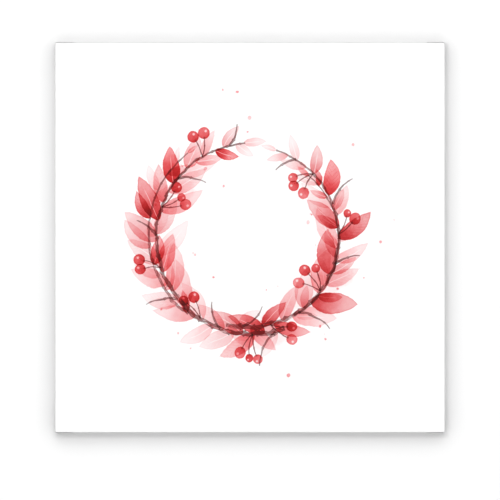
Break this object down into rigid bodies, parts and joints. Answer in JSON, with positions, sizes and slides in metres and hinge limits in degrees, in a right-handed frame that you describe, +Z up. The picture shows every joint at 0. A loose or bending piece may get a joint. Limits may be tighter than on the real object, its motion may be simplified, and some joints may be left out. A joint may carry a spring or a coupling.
{
  "type": "stretched canvas wall picture",
  "caption": "Square stretched canvas wall picture on mitred wooden stretcher bars, with corner wedges, staples, a sawtooth hanger and rubber wall pads.",
  "frame": {"origin": "the point on the wall where the nail carries the middle notch of the sawtooth hanger", "axes": "+Z up, +Y from the picture into the wall, so the printed face looks along -Y, +X to the right as seen from the front"},
  "size_m": [0.4, 0.0225, 0.4],
  "materials": {
    "canvas": "white primed cotton canvas, matt, with a watercolour print on the front",
    "bar_wood": "planed, unfinished softwood",
    "wedge_wood": "sawn, unfinished beech",
    "wire": "bright galvanised wire",
    "hanger_steel": "pressed zinc-plated sheet",
    "rubber": "matt black rubber"
  },
  "bodies": {
    "root": {"canvas": "canvas", "bar_top": "bar_wood", "staple_top_1": "wire", "staple_top_2": "wire", "staple_top_3": "wire", "staple_top_4": "wire", "staple_top_5": "wire", "staple_top_6": "wire", "wedge_top_1": "wedge_wood", "wedge_top_2": "wedge_wood", "bar_right": "bar_wood", "staple_right_1": "wire", "staple_right_2": "wire", "staple_right_3": "wire", "staple_right_4": "wire", "staple_right_5": "wire", "staple_right_6": "wire", "wedge_right_1": "wedge_wood", "wedge_right_2": "wedge_wood", "bar_bottom": "bar_wood", "staple_bottom_1": "wire", "staple_bottom_2": "wire", "staple_bottom_3": "wire", "staple_bottom_4": "wire", "staple_bottom_5": "wire", "staple_bottom_6": "wire", "wedge_bottom_1": "wedge_wood", "wedge_bottom_2": "wedge_wood", "bar_left": "bar_wood", "staple_left_1": "wire", "staple_left_2": "wire", "staple_left_3": "wire", "staple_left_4": "wire", "staple_left_5": "wire", "staple_left_6": "wire", "wedge_left_1": "wedge_wood", "wedge_left_2": "wedge_wood", "staple_fold_1": "wire", "staple_fold_2": "wire", "staple_fold_3": "wire", "staple_fold_4": "wire", "hanger": "hanger_steel", "hanger_nail_left": "wire", "pad_left": "rubber", "hanger_nail_right": "wire", "pad_right": "rubber"}
  },
  "joints": []
}
